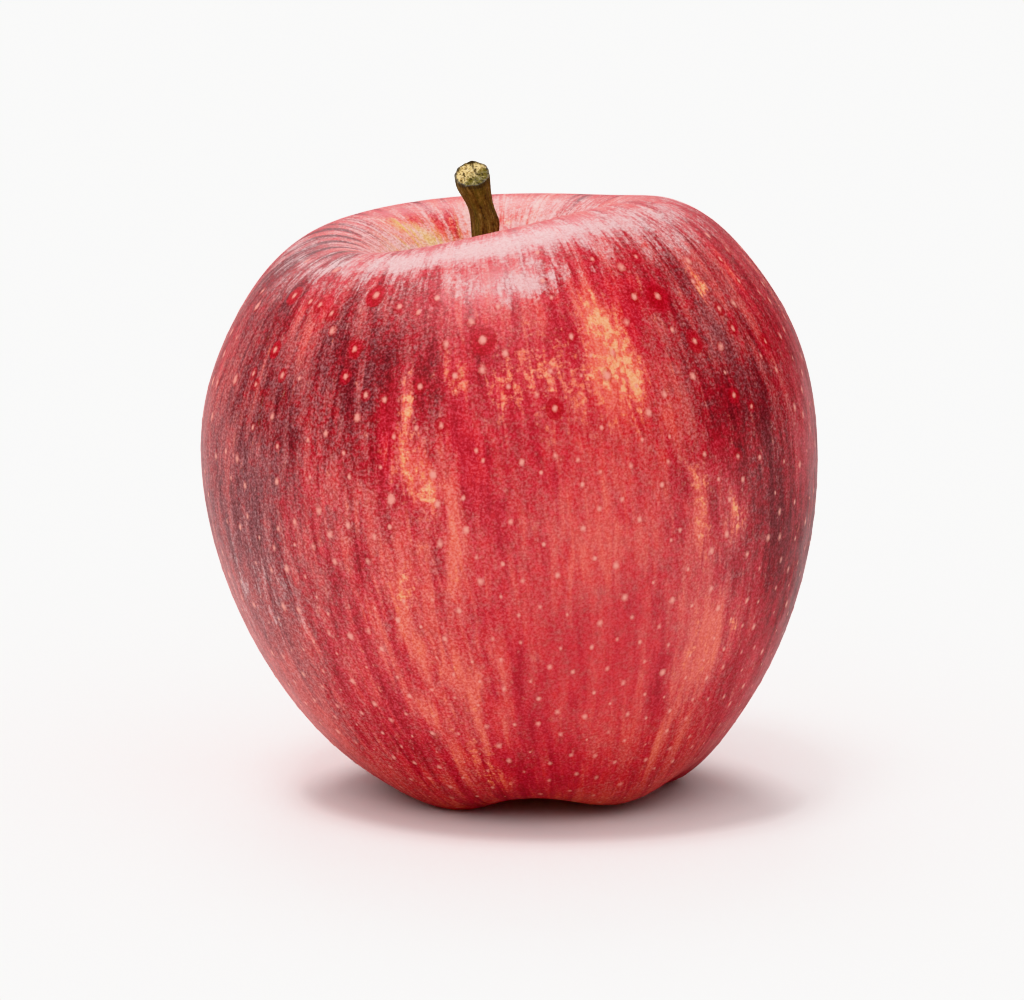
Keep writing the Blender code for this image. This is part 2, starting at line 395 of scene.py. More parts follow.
def softDents(azimuth, along):
    dents = fruitForm["dents"]
    draw = np.random.default_rng(dents["seed"])
    total = np.zeros_like(azimuth)
    for _ in range(dents["waves"]):
        turns = draw.integers(1, 9)
        waves = draw.uniform(2.0, 16.0)
        total += np.cos(turns * azimuth + draw.uniform(0, 6.3)) * np.cos(waves * along + draw.uniform(0, 6.3))
    fade = rise(along, 0.12, 0.12) * rise(along, 0.78, -0.1)
    return dents["depth"] * fade * total / 3


# colour over the skin: soft strokes, listed one by one

skinPaint = {
    "startDepth": 0.47,           # 0 is orange red, 1 is nearly black red
    "startFleck": 0.25,           # how much of the skin the pale flecks cover
    "hiddenSeed": 11,             # strokes on the side turned away
    "hiddenStrokes": 90,
    # each stroke: azimuth and half width in degrees; then in hundredths its place and half length
    # along the skin from the stalk (0) to the calyx (100), and what it adds to the depth, the
    # flecks and, where a last number is given, the gold
    "wide": [
        (222, 26, 40, 16, 20, 10), (204, 14, 50, 22, 12, 20), (215, 9, 55, 11, 14, 20),
        (222, 16, 70, 10, 6, 8), (246, 8, 32, 6, 14, 8), (318, 15, 38, 12, 20, 14),
        (337, 16, 44, 20, 20, 16), (330, 8, 58, 7, 14, 10), (280, 9, 37, 5, -16, -5, 12),
        (288, 10, 48, 8, -8, 5, 2), (284, 6, 53, 5, -5, 6), (250, 10, 58, 14, -10, 22, 8),
        (286, 18, 68, 12, -2, -25), (285, 18, 79, 5, 8, -30), (307, 8, 63, 10, -6, 12, 5),
        (243, 8, 76, 4, -4, 5, 6), (255, 9, 72, 6, -8, 15, 12), (270, 10, 45, 5, 2, -10),
        # the strokes at azimuths 186 and 356 darken the two sides: painted shade
        (186, 12, 48, 26, 22, 5), (356, 13, 48, 26, 26, 0), (188, 30, 25, 5, 26, 0),
        (340, 16, 55, 22, 6, -22), (350, 16, 38, 14, -6, -20), (325, 8, 50, 10, 10, -12),
        (340, 16, 61, 11, 20, -60), (262, 10, 80, 4, 5, -10), (246, 16, 36.5, 7, 18, -14),
        (274, 14, 36.5, 5, 12, -10), (218, 22, 46, 12, 12, -5), (286, 14, 54, 12, -5, 4),
        (285, 30, 84, 6, -10, 12), (236, 14, 62, 10, -12, -10), (289, 14, 74, 9, -12, 28),
        # the stroke at azimuth 285, 89 along, lays paler flecks low at the front: painted light from the
        # floor
        (316, 12, 47, 7, 13, -14), (285, 35, 89, 7, -4, 60), (279, 9, 38.5, 5, 16, 5, 10),
        (253, 8, 38.5, 5, 6, -14), (342, 10, 48, 9, -28, 5), (326, 9, 37.5, 5, -10, 24),
        (230, 10, 37.5, 5, 5, 12), (206, 14, 62, 10, -2, 70), (268, 12, 77, 6, 4, -10, -12),
        (264, 10, 56, 10, -10, 0, -4),
    ],
    "cavity": [
        (127, 3, 18.3, 1.2, 6, -130), (135, 2, 19.4, 1.2, 10, -110), (117, 2.4, 16.8, 1.4, 2, -120, 5),
        (109, 3, 16.8, 1.8, 6, -120, 5), (80, 4, 16.6, 1.4, 0, -40, 12), (70, 3, 17.6, 1.2, 6, -30, 5),
        (72, 12, 19, 3, -20, 30, 10), (97, 5, 17.5, 4, -25, 30, 20), (66, 4, 16.5, 3, -10, 20, 10),
        (138, 8, 17.8, 1.5, -15, -20, 18), (127, 9, 15.6, 1.2, -15, -20, 28), (60, 3, 19.5, 2, 22, -10),
        (118, 1.8, 22.6, 2, 50, -60), (106, 1.4, 23, 2.2, 46, -60), (96, 1.8, 22.8, 1.8, 50, -60),
        (85, 1.4, 23.2, 2.2, 50, -60), (73, 1.6, 23, 2.2, 50, -60), (54, 1.4, 23.4, 2.4, 52, -60),
        (42, 1.6, 23.6, 2.4, 50, -60), (30, 1.4, 23.8, 2.4, 52, -60), (17, 1.4, 24.2, 2.4, 50, -60),
        (133, 1.6, 22.6, 2.2, 50, -60), (142, 1.4, 22.2, 2.4, 50, -60), (48, 3, 20.5, 2, 26, -10),
        (36, 3, 21, 2.2, 20, -10), (116, 2, 20, 2, 18, -20), (126, 2, 20.5, 1.6, 16, -10),
        (150, 1.8, 19, 3, 46, -35), (158, 1.8, 19.5, 3.5, 50, -35), (166, 1.9, 19.8, 3.5, 46, -35),
        (175, 1.9, 20, 3.5, 52, -35), (185, 2.1, 20.5, 3.5, 48, -35), (196, 2.1, 21, 3.5, 50, -35),
        (208, 2.3, 21.5, 3, 46, -35), (171, 1.5, 20.5, 3, -16, 30), (190, 2, 21.5, 3, -16, 30),
        (220, 2.8, 22.2, 2.5, 38, -25),
    ],
    "narrow": [
        (203, 2.5, 40, 7, -12, 20), (208, 3.5, 36, 7, 14, 0), (213, 3.5, 28.5, 2, 25, -15),
        (219, 4, 28.5, 3, -8, -35), (216, 2.5, 33, 3, 12, -15), (222, 3.5, 33, 3, -4, 25),
        (228, 2.2, 29.5, 2.5, -12, -45), (234, 3.5, 32, 4, 18, 10), (238, 3, 35, 3, 10, -30),
        (243, 2.5, 28, 2, 20, -30), (243, 3, 39, 3, 12, 20), (248.5, 1.8, 41, 5, -12, -60),
        (252.3, 1.6, 40, 4.5, -28, 50, 30), (255, 2.5, 44, 3, -20, 35, 30),
        (255, 1.8, 36.5, 2.5, 16, -30), (258, 1.8, 39, 4, 12, 5), (263, 1.6, 42, 5, -2, -55),
        (262, 3.5, 36.5, 2, -14, -20, 18), (272, 3.5, 38, 2, -16, -10, 18), (268, 2.3, 33.7, 2, -2, -50),
        (286, 2.5, 33.5, 2, 6, -30), (293.5, 3, 35.5, 4.2, -34, 50, 86),
        (296, 1.8, 39, 3.5, -25, 35, 50), (290, 3.5, 39.5, 3.5, -15, 25, 25),
        (299, 2, 33.5, 3, -10, -60), (303, 2.6, 32.2, 1.8, -16, -40, 10), (309, 3, 32.6, 2.2, 2, -55),
        (311, 2.2, 36.5, 3, 22, -15), (315, 3.5, 30.8, 1.8, 12, -10),
        (321.5, 1.8, 32.5, 1.4, -20, 30, 60), (321, 3.5, 37, 4.5, 16, 10),
        (337, 1.8, 32.5, 3.5, -24, -70, 5), (326, 2.6, 37, 2.5, -5, -45), (333, 2, 39.5, 2, -2, -40),
        (317, 3, 42.5, 2, -6, -40), (305, 3.5, 40, 5, -6, 20, 2), (233, 2.2, 46, 5.5, -16, -15),
        (226, 1.6, 48, 3, -10, -30), (236, 2, 55, 3, 12, 0), (230, 1.6, 55, 4.5, -12, 35),
        (238, 1.8, 47, 5, -6, 25), (227, 1.6, 41, 4, 12, -10), (248, 2, 55, 1.8, -15, 30, 50),
        (251, 1.6, 48, 3, 8, -30), (259, 1.8, 52, 5, -16, 40, 22), (256, 2.5, 47, 1.5, -10, 15, 25),
        (267, 3, 50, 3, 10, -25), (265, 1.3, 44, 3, 0, -50), (278, 2.5, 46, 1.2, 12, -30),
        (278, 4, 60, 3, 8, 0), (303, 1.6, 49, 2, 12, -35), (306, 2, 51.5, 3.5, -22, 40, 40),
        (314, 1.8, 53, 1.8, -18, 25, 45), (312, 5, 47, 2, -6, -30), (315, 2.3, 58, 2.5, 22, -15),
        (309, 3, 63.5, 3, -14, 30, 20), (316, 1.6, 63, 1, -10, 30, 30), (304, 2.5, 67, 3.5, -12, 40, 15),
        (311, 1.5, 67, 2, -12, 40, 15), (318, 2.5, 71, 3, 16, -5), (303, 1.4, 73.5, 2, -20, 60, 10),
        (309, 2.2, 74, 3, -8, 40, 10), (302, 2.2, 77, 2, -10, 40, 12), (257, 2.4, 77, 2.5, -20, 35, 50),
        (254, 2.2, 73.5, 2.5, -14, 30, 28), (246, 5, 67, 2.5, -12, 30, 10), (241, 2.2, 64.5, 3, 14, -10),
        (252, 2.2, 68.5, 3, 16, -15), (240, 4, 72, 2.5, 14, -10), (255, 2.5, 64, 2.5, -10, 35, 12),
        (257.5, 2, 68, 4, -12, 40, 15), (262, 4, 73, 4, 2, -20), (250, 2, 60, 3, -6, 35, 12),
        (244, 2, 60, 4, 6, 10), (248, 1.5, 66, 5, 16, -45, -15), (252.5, 1.3, 73, 4, 18, -45, -15),
        (243, 1.5, 70, 5, 14, -45, -15), (259.5, 1.5, 71, 5, 14, -45, -15),
        (263, 1.4, 77, 4, 14, -40, -15), (267, 1.6, 66, 5, 14, -40, -10),
        (255, 1.4, 81, 3, 16, -40, -15), (238, 1.6, 64, 6, 16, -40, -10), (233, 1.4, 69, 5, 14, -40),
        (228, 1.6, 62, 5, 14, -40), (272, 2, 72, 5, 8, -30, -10), (297, 1.6, 68, 5, 12, -40, -10),
        (245.5, 1.1, 60, 4, 16, -45, -15), (251, 1, 62, 5, 14, -40, -15),
        (256, 1.1, 74, 5, 16, -45, -20), (261, 1.1, 67, 4, 12, -40, -15), (235.5, 1.2, 74, 5, 16, -45),
        (246, 1.2, 77, 4, 18, -45, -15), (223, 1.3, 68, 5, 14, -35), (240, 1.1, 52, 4, 14, -35),
        (296, 2, 28, 2, 2, -30), (250, 3, 28.5, 1.5, 6, -10), (257, 3, 29, 1.5, -2, -35),
        (325, 2, 45, 5, 12, -10),
    ],
    # spots of painted highlight and sheen, laid in as whitish wax: strength, azimuth and half width, place
    # and half length along the skin
    "paintedSheenSpots": [(1.05, 276, 11, 0.290, 0.014), (0.42, 328, 16, 0.268, 0.020), (0.28, 208, 18, 0.57, 0.09)],
}


def layStrokes(strokes, azimuthDeg, along):
    total = np.zeros((3, *azimuthDeg.shape))
    for azimuth, halfWidth, *hundredths in strokes:
        place, halfLength, *amounts = np.array((*hundredths, 0)[:5]) / 100
        cover = bell(turnFrom(azimuthDeg, azimuth), 0, halfWidth) * bell(along, place, halfLength)
        total += np.array(amounts)[:, None, None] * cover
    return total


def hiddenStrokes():
    # the same kinds of stroke, strewn over the side turned away
    draw = np.random.default_rng(skinPaint["hiddenSeed"])
    kinds = skinPaint["narrow"]
    strokes = []
    for _ in range(skinPaint["hiddenStrokes"]):
        _, halfWidth, _, halfLength, *amounts = kinds[draw.integers(len(kinds))]
        strokes.append((draw.uniform(-10, 192), halfWidth, draw.uniform(28, 80), halfLength, *amounts))
    for azimuth in (20, 62, 104, 148):
        strokes.append((azimuth, 17, draw.uniform(38, 48), 17, draw.uniform(0, 22), 10))
        strokes.append((azimuth + 18, 10, draw.uniform(50, 70), 12, -10, 15, 8))
    return strokes


def paintFields(azimuth, along):
    azimuthDeg = np.degrees(azimuth) % 360
    # a little wander keeps the strokes from lying dead straight
    bent = azimuthDeg + 0.8 * np.sin(along * 41 + azimuthDeg * 0.11)
    bent = bent + 0.5 * np.sin(along * 97 + azimuthDeg * 0.31)
    moved = along + 0.004 * np.sin(azimuthDeg * 0.83) + 0.003 * np.sin(azimuthDeg * 1.9 + along * 30)
    strokes = skinPaint["wide"] + skinPaint["narrow"] + hiddenStrokes() + skinPaint["cavity"]
    depth, fleck, gold = layStrokes(strokes, bent, moved)
    inCavity = rise(along, 0.225, -0.06)
    nearStalk = rise(along, 0.150, -0.05)
    nearCalyx = rise(along, 0.86, 0.06)
    depth = depth + skinPaint["startDepth"] - 0.14 * inCavity - 0.12 * nearStalk - 0.2 * nearCalyx
    fleck = fleck + skinPaint["startFleck"] + 0.55 * inCavity
    gold = gold + 0.10 * inCavity + 0.80 * nearStalk + 0.6 * nearCalyx
    return depth, np.clip(fleck, -0.4, 1.3), np.clip(gold, 0, 1)


def sheenAndBloomField(azimuth, along):
    # whitish wax round the shoulder, with painted highlight laid in as more of it: thickest on the rim of the
    # cavity in front, and in the painted highlight spots
    total = bell(along, 0.243, 0.017) * (0.28 + 0.84 * facing(azimuth, 272, 50))
    total = total + 0.17 * bell(along, 0.258, 0.045)
    for strength, middle, halfWidth, place, halfLength in skinPaint["paintedSheenSpots"]:
        total = total + strength * facing(azimuth, middle, halfWidth) * bell(along, place, halfLength)
    return total


def greenField(azimuth, along):
    # dry greenish brown lines that run into the cavity, and round the calyx
    cavity = rise(along, 0.20, -0.05) * rise(along, 0.06, 0.04)
    sides = 0.5 + 0.5 * np.cos(2 * (azimuth - math.radians(150)))
    slant = 0.152 + 0.0023 * (np.degrees(azimuth) - 126)
    band = 0.36 * facing(azimuth, 131, 14) * bell(along, slant, 0.016)
    return cavity * (0.10 + 0.45 * sides) + band + 0.35 * rise(along, 0.88, 0.05)


def streakField(azimuth, along):
    # how strong the streaks and the grain are: the front and the lower half are smoother
    low = rise(along, 0.48, 0.16) * (1 - 0.8 * facing(azimuth, 236, 26))
    front = facing(azimuth, 284, 24) * np.exp(-((along - 0.52) / 0.22) ** 4)
    return 1 - 0.25 * low - 0.30 * bell(along, 0.25, 0.03) - 0.40 * front


# skin material, shared by the skin and its lenticels

skinLook = {
    "broadStreaks": (13.0, 13.0, 8.0),              # about 3 mm wide, 15 mm long
    "fineStreaks": (34.0, 34.0, 20.0),              # about 1 mm wide, 7 mm long
    "mottleScale": 2500.0,                          # flecks about a third of a millimetre across
    "patchScale": 1000.0,                           # patches a millimetre or so across
    "grainScale": 3400.0, "grain": (0.33, -0.24),   # fine grain, from its darkest to its palest
    # what each noise adds: broad streaks, fine streaks, blotches, patches, flecks
    "toDepth": (0.85, 0.55, 0.20, 0.50, 0.26),
    "toCover": (-0.90, -1.00, 0.60, 1.20, 0.00),
    "toWarm": (0.00, -1.90, 0.70, 3.20, 1.40),
    "toSheenAndWax": (0.00, -2.20, 1.60, 0.80, 1.60),
    "ground": [  # the red between the flecks, by depth
        (0.00, (0.60, 0.075, 0.056)), (0.28, (0.53, 0.042, 0.050)), (0.50, (0.40, 0.022, 0.036)),
        (0.70, (0.290, 0.012, 0.019)), (0.86, (0.190, 0.011, 0.016)), (1.00, (0.115, 0.010, 0.014)),
    ],
    "flecks": [  # the paler flecks over it, by depth
        (0.00, (0.67, 0.180, 0.115)), (0.28, (0.59, 0.098, 0.084)), (0.50, (0.45, 0.082, 0.078)),
        (0.70, (0.32, 0.076, 0.078)), (0.86, (0.23, 0.063, 0.068)), (1.00, (0.16, 0.048, 0.054)),
    ],
    "goldColour": (0.72, 0.36, 0.18),
    "orangeColour": (0.66, 0.145, 0.090),
    "greenColour": (0.55, 0.41, 0.130),
    # whitish colour of the wax and of the painted highlight and sheen, and how much of it is laid over the
    # skin
    "sheenAndBloomColour": (0.58, 0.43, 0.43),
    "sheenAndBloom": 0.68,
    "cream": 0.95,                # bloom on the cavity's wall, where no stroke reddens it
    "spotColour": (0.70, 0.29, 0.235),
    "haloColour": (0.33, 0.005, 0.012),
    "roughness": 0.33,
    "ior": 1.36,
    "cheekGleam": 0.12,           # share of the gloss left there, where a half is all of it
    "grazing": 0.25,              # how much duller the skin is where it turns away
}


def makeSkinMaterial():
    look = skinLook
    material, tree, shader = newMaterial("appleSkin", look["roughness"])
    shader.inputs["IOR"].default_value = look["ior"]
    place = objectPlace(tree)
    grain = attributeOf(tree, "grain")
    paintDepth, paintCover, paintGold = split(tree, attributeOf(tree, "paint"))
    near, ring, middle = split(tree, attributeOf(tree, "spot"))
    wax, green, streaks = split(tree, attributeOf(tree, "wax"))

    broad = noise(tree, stretched(tree, grain, look["broadStreaks"]), 1.0, 3.0, 0.55, distortion=0.6)
    fine = noise(tree, stretched(tree, grain, look["fineStreaks"]), 1.0, 2.0, 0.58, distortion=0.9)
    mottle = noise(tree, place, look["mottleScale"], 2.0, 0.75)
    blotch = noise(tree, place, look["mottleScale"] / 7, 3.0, 0.6)
    patch = noise(tree, place, look["patchScale"], 3.0, 0.65)
    broad = times(tree, centred(tree, broad), streaks)
    fine = times(tree, centred(tree, fine), streaks, 1.15)
    flecks = times(tree, centred(tree, mottle), streaks)
    blotches = centred(tree, blotch)
    noises = (broad, fine, blotches, centred(tree, patch), flecks)

    depth = weigh(tree, paintDepth, noises, look["toDepth"], clamp=True)
    ground = colourRamp(tree, depth, look["ground"])
    pale = colourRamp(tree, depth, look["flecks"])
    # flecks cover more of the skin where the paint or the streaks say so
    cover = weigh(tree, paintCover, noises, look["toCover"])
    level = weigh(tree, -0.17, (flecks, cover), (0.85, 0.62))
    colour = layer(tree, ground, pale, level, -0.24, 0.24)

    # gold and orange break up most where there is much of them
    warm = weigh(tree, 0.0, noises, look["toWarm"])
    warm = calc(tree, "MULTIPLY_ADD", warm, remap(tree, paintGold, 0.0, 0.30, 0.40, 1.0), paintGold)
    colour = layer(tree, colour, look["orangeColour"], warm, 0.16, 0.66, 0.85)
    colour = layer(tree, colour, look["goldColour"], warm, 0.46, 1.05, 0.85)
    greenish = calc(tree, "MULTIPLY_ADD", fine, 1.2, green)
    colour = layer(tree, colour, look["greenColour"], greenish, 0.25, 0.9, 0.8)

    # whitish wax, and painted highlight and sheen, laid over the skin's colour
    sheenAndWaxCover = weigh(tree, 0.0, noises, look["toSheenAndWax"])
    sheenAndWaxCover = calc(tree, "MULTIPLY_ADD", sheenAndWaxCover, remap(tree, wax, 0.0, 0.25, 0.20, 1.0), wax)
    sheenAndWaxCover = times(tree, remap(tree, sheenAndWaxCover, 0.08, 1.18), look["sheenAndBloom"])
    colour = blendColour(tree, sheenAndWaxCover, colour, look["sheenAndBloomColour"])

    # pores: a red ring that fades outwards, and a pale middle
    ragged = weigh(tree, 0.0, (flecks, blotches), (1.1, 1.1))
    ragged = times(tree, ragged, calc(tree, "GREATER_THAN", near, 0.04))
    halo = times(tree, remap(tree, calc(tree, "ADD", near, ragged), 0.0, 0.50), ring)
    colour = blendColour(tree, halo, colour, look["haloColour"])
    grained = remap(tree, noise(tree, place, look["grainScale"], 2.0, 0.7), 0.32, 0.68, *look["grain"])
    grained = calc(tree, "MULTIPLY_ADD", grained, streaks, 1.0)
    colour = addNode(tree, "ShaderNodeGamma", {"Color": colour, "Gamma": grained})[0]
    dot = calc(tree, "MULTIPLY_ADD", ragged, 0.6, middle)
    colour = layer(tree, colour, look["spotColour"], dot, 0.20, 0.95, 0.88)
    tree.links.new(colour, shader.inputs["Base Color"])

    turned = addNode(tree, "ShaderNodeLayerWeight", {"Blend": 0.5})["Facing"]
    dull = remap(tree, calc(tree, "ADD", blotch, sheenAndWaxCover), 0.3, 0.9,
                 look["roughness"] - 0.05, look["roughness"] + 0.14)
    dull = calc(tree, "ADD", dull, remap(tree, turned, 0.45, 0.95, 0.0, look["grazing"]))
    tree.links.new(dull, shader.inputs["Roughness"])
    # the cheeks gleam less where they turn away, the waxy shoulder does not
    along = split(tree, grain)[2]
    cheek = times(tree, remap(tree, along, 0.26, 0.40), remap(tree, along, 0.86, 0.74),
                  remap(tree, turned, 0.28, 0.58), remap(tree, turned, 0.70, 0.88, 1.0, 0.0))
    gleam = calc(tree, "MULTIPLY_ADD", cheek, look["cheekGleam"] - 0.5, 0.5)
    tree.links.new(gleam, shader.inputs["Specular IOR Level"])
    relief = weigh(tree, 0.0, (mottle, blotch), (0.5, 1.4))
    addBump(tree, shader, relief, 0.05 * mm, 0.6)
    return material


# skin

def makeSkin(material):
    section, along = fruitSection()
    azimuth = np.linspace(0, 2 * math.pi, fruitForm["turns"], endpoint=False)
    azimuth, along = np.meshgrid(azimuth, along, indexing="ij")
    points = leanOver(shapeFruit(azimuth, section[:, 0] + softDents(azimuth, along), section[:, 1]))
    points[..., 2] = np.maximum(points[..., 2], 0)
    mesh = gridMesh("appleSkin", points)
    ends = ((1.0, 0.0, 0.0), (1.0, 0.0, 1.0))
    storeVectors(mesh, "grain", (np.cos(azimuth), np.sin(azimuth), along), ends)
    depth, fleck, gold = paintFields(azimuth, along)
    storeVectors(mesh, "paint", (depth, fleck, gold))
    creamy = skinLook["cream"] * rise(along, 0.225, -0.03) * np.clip(fleck, 0, 1)
    # whitish wax with painted highlight and sheen, and the cream in the cavity
    sheenAndBloom = sheenAndBloomField(azimuth, along) + creamy
    storeVectors(mesh, "wax", (sheenAndBloom, greenField(azimuth, along), streakField(azimuth, along)))
    return newPiece("appleSkin", mesh, material)


skinMaterial = makeSkinMaterial()
skin = makeSkin(skinMaterial)
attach(skin, "root")
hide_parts("fruit")
print("skin made")


# lenticels: the pale pores, strewn over the skin

lenticelForm = {
    "spacing": 2.7,               # least distance between two pores, in mm
    "clearance": 2.4,             # bare skin kept round the listed pores, in mm
    "size": (0.50, 0.80),         # half widths in mm, at the base and at the shoulder
    "dotShare": 1.00,             # reach of the pale middle, as a share of that
    "dot": 0.52,                  # reach of the pale middle of a listed pore, in mm
    "lift": 0.035,                # height at the middle, in mm
    "sink": 0.020,                # how far the edge dips under the skin, in mm
    "sides": 12,
    "rings": 4,
    "seed": 5,
    # listed one by one: azimuth in degrees, place along the skin, half width in mm, dark ring round it
    "marks": [
        (268, 0.337, 2.12, 1), (258, 0.292, 1.37, 0.7), (249, 0.297, 1.08, 0.6), (262, 0.366, 1.23, 0.5),
        (272, 0.381, 1.04, 0.4), (255, 0.373, 1.08, 0.7), (248, 0.383, 0.98, 0.5),
        (244, 0.378, 0.9, 0.6), (240, 0.336, 1.39, 0.9), (242, 0.283, 1.75, 1), (231, 0.3, 1.27, 0.7),
        (226, 0.291, 1.28, 0.8), (222, 0.288, 1.08, 0.7), (214, 0.283, 1.62, 1), (217, 0.338, 1.27, 0.9),
        (212, 0.363, 0.9, 0.6), (222, 0.361, 0.98, 0.7), (214, 0.372, 0.9, 0.6), (239, 0.361, 1.08, 0.7),
        (259, 0.408, 1.08, 0.6), (265, 0.432, 0.74, 0.4), (250, 0.415, 0.82, 0.5),
        (216, 0.41, 0.67, 0.4), (224, 0.424, 0.74, 0.5), (240, 0.428, 0.67, 0.4), (241, 0.448, 0.7, 0.3),
        (266, 0.441, 0.63, 0.3), (297, 0.28, 1.08, 0.6), (309, 0.326, 2.12, 1), (283, 0.292, 0.74, 0.4),
        (309, 0.287, 0.98, 0.7), (321, 0.322, 0.84, 0.3), (303, 0.322, 1.34, 0.6),
        (286, 0.346, 0.99, 0.6), (284, 0.309, 0.82, 0.4), (313, 0.372, 1.6, 0.8),
        (325, 0.372, 1.18, 0.7), (324, 0.352, 1.08, 0.6), (334, 0.393, 1.28, 0.8),
        (338, 0.336, 0.82, 0.5), (337, 0.312, 0.82, 0.4), (318, 0.426, 1.28, 0.8), (322, 0.44, 0.9, 0.6),
        (280, 0.405, 1.39, 0.9), (288, 0.427, 0.7, 0.3), (301, 0.446, 0.7, 0.3), (308, 0.468, 0.9, 0.6),
        (316, 0.478, 1.08, 0.7), (322, 0.485, 0.82, 0.5), (330, 0.497, 0.74, 0.4),
        (298, 0.485, 0.77, 0.3), (283, 0.472, 0.73, 0.2), (299, 0.535, 0.66, 0.2),
        (275, 0.519, 0.56, 0.1), (248, 0.492, 0.66, 0.2), (231, 0.573, 0.56, 0.1),
        (301, 0.528, 0.59, 0.2), (315, 0.532, 0.66, 0.2), (276, 0.457, 0.53, 0.2),
        (295, 0.57, 0.56, 0.1),
    ],
}


def markMesh():
    # one point for each listed pore, on the skin's own formula
    azimuth, along, size, ring = np.array(lenticelForm["marks"], float).T
    section, reach = fruitSection()
    radius, height = (np.interp(along, reach, side) for side in section.T)
    points = leanOver(shapeFruit(np.radians(azimuth), radius, height))
    mesh = bpy.data.meshes.new("lenticelMarks")
    mesh.from_pydata(points.tolist(), [], [])
    dot = np.minimum(lenticelForm["dot"] * (0.6 + 0.4 * size), size)
    fields = {"size": size * mm, "ring": ring, "tone": np.ones_like(ring), "dot": dot * mm}
    for name, values in fields.items():
        mesh.attributes.new(name, "FLOAT", "POINT").data.foreach_set("value", values.astype(np.float32))
    return mesh


def lenticelTree(values):
    tree, given, result = newTree("strewLenticels", values)
    skinShape = addNode(tree, "GeometryNodeObjectInfo", {"Object": given["Skin"]})["Geometry"]
    along = split(tree, named(tree, "grain", "FLOAT_VECTOR"))[2]

    def sampleSkin(value):
        return addNode(tree, "GeometryNodeSampleNearestSurface", {"Mesh": skinShape, "Value": value},
                       data_type="FLOAT_VECTOR")["Value"]

    # fewer on the shoulders, many near the base, none deep in the two hollows
    lower = remap(tree, along, 0.28, 0.66, 0.13, 1.0, "LINEAR")
    outside = times(tree, calc(tree, "GREATER_THAN", along, 0.215), calc(tree, "LESS_THAN", along, 0.90))
    strewn = addNode(tree, "GeometryNodeDistributePointsOnFaces", {
        "Mesh": skinShape, "Distance Min": given["Spacing"], "Density Max": 500000.0,
        "Density Factor": times(tree, lower, outside), "Seed": given["Seed"]},
        distribute_method="POISSON")["Points"]
    chance = randomValue(tree, 0.0, 1.0, 2)
    high = remap(tree, along, 0.70, 0.30, kind="LINEAR")
    growth = calc(tree, "SUBTRACT", given["Large"], given["Small"])
    size = calc(tree, "MULTIPLY_ADD", growth, high, given["Small"])
    size = times(tree, size, calc(tree, "MULTIPLY_ADD", chance, 0.75, 0.55))
    strewn = storeNamed(tree, strewn, "size", size)
    ring = times(tree, high, high, calc(tree, "MULTIPLY_ADD", chance, 0.7, 0.1))
    strewn = storeNamed(tree, strewn, "ring", ring)
    strewn = storeNamed(tree, strewn, "tone", randomValue(tree, 0.78, 1.0, 7))
    strewn = storeNamed(tree, strewn, "dot", times(tree, size, given["Dot Share"]))
    marks = addNode(tree, "GeometryNodeMeshToPoints", {"Mesh": given["Geometry"], "Radius": 0.0005})["Points"]
    toMark = addNode(tree, "GeometryNodeProximity", {"Geometry": marks}, target_element="POINTS")["Distance"]
    close = calc(tree, "LESS_THAN", toMark, given["Clearance"])
    strewn = change(tree, "DeleteGeometry", strewn, {"Selection": close}, domain="POINT")

    # a low dome of a few rings, closer together near its middle
    dome = addNode(tree, "GeometryNodeMeshCone", {
        "Vertices": given["Sides"], "Side Segments": given["Rings"],
        "Radius Top": 0.0, "Radius Bottom": 1.0, "Depth": 0.02}, fill_type="NONE")["Mesh"]
    position = addNode(tree, "GeometryNodeInputPosition")["Position"]
    flat = stretched(tree, position, (1.0, 1.0, 0.0))
    ringOf = addNode(tree, "ShaderNodeVectorMath", {0: flat}, operation="LENGTH")["Value"]
    dome = change(tree, "SetPosition", dome, {"Position": scaled(tree, flat, calc(tree, "SQRT", ringOf))})
    dome = storeNamed(tree, dome, "near", calc(tree, "SUBTRACT", 1.0, ringOf))
    out = sampleSkin(addNode(tree, "GeometryNodeInputNormal")["Normal"])
    upright = addNode(tree, "FunctionNodeAlignRotationToVector", {"Vector": out}, axis="Z")["Rotation"]
    turned = addNode(tree, "FunctionNodeAlignRotationToVector", {
        "Rotation": upright, "Vector": (0.0, 0.0, 1.0)}, axis="Y", pivot_axis="Z")["Rotation"]
    size = named(tree, "size")
    scale = combine(tree, size, times(tree, size, 1.25), size)
    solid = standOn(tree, joinParts(tree, strewn, marks), dome, turned, scale)

    # laid on the skin: the middle a little proud, the edge just under it
    near = named(tree, "near")
    plateau = calc(tree, "MINIMUM", times(tree, near, 2.0), 1.0)
    lift = times(tree, plateau, calc(tree, "ADD", given["Lift"], given["Sink"]))
    shift = scaled(tree, out, calc(tree, "SUBTRACT", lift, given["Sink"]))
    onSkin = sampleSkin(position)
    laid = addNode(tree, "ShaderNodeVectorMath", {0: onSkin, 1: shift}, operation="ADD")["Vector"]
    solid = change(tree, "SetPosition", solid, {"Position": laid})
    # the skin's fields, painted highlight and sheen among them, copied onto the pores
    for name in ("grain", "paint", "wax"):
        sampled = sampleSkin(named(tree, name, "FLOAT_VECTOR"))
        solid = storeNamed(tree, solid, name, sampled, "FLOAT_VECTOR")
    # how near the middle each point is, the strength of the dark ring and that of the pale middle
    outwards = times(tree, calc(tree, "SUBTRACT", 1.0, near), named(tree, "size"))
    outwards = calc(tree, "DIVIDE", outwards, named(tree, "dot"))
    middle = times(tree, calc(tree, "SUBTRACT", 1.0, outwards, clamp=True), named(tree, "tone"))
    shown = combine(tree, near, named(tree, "ring"), middle)
    return finishTree(tree, given, result, storeNamed(tree, solid, "spot", shown, "FLOAT_VECTOR"))


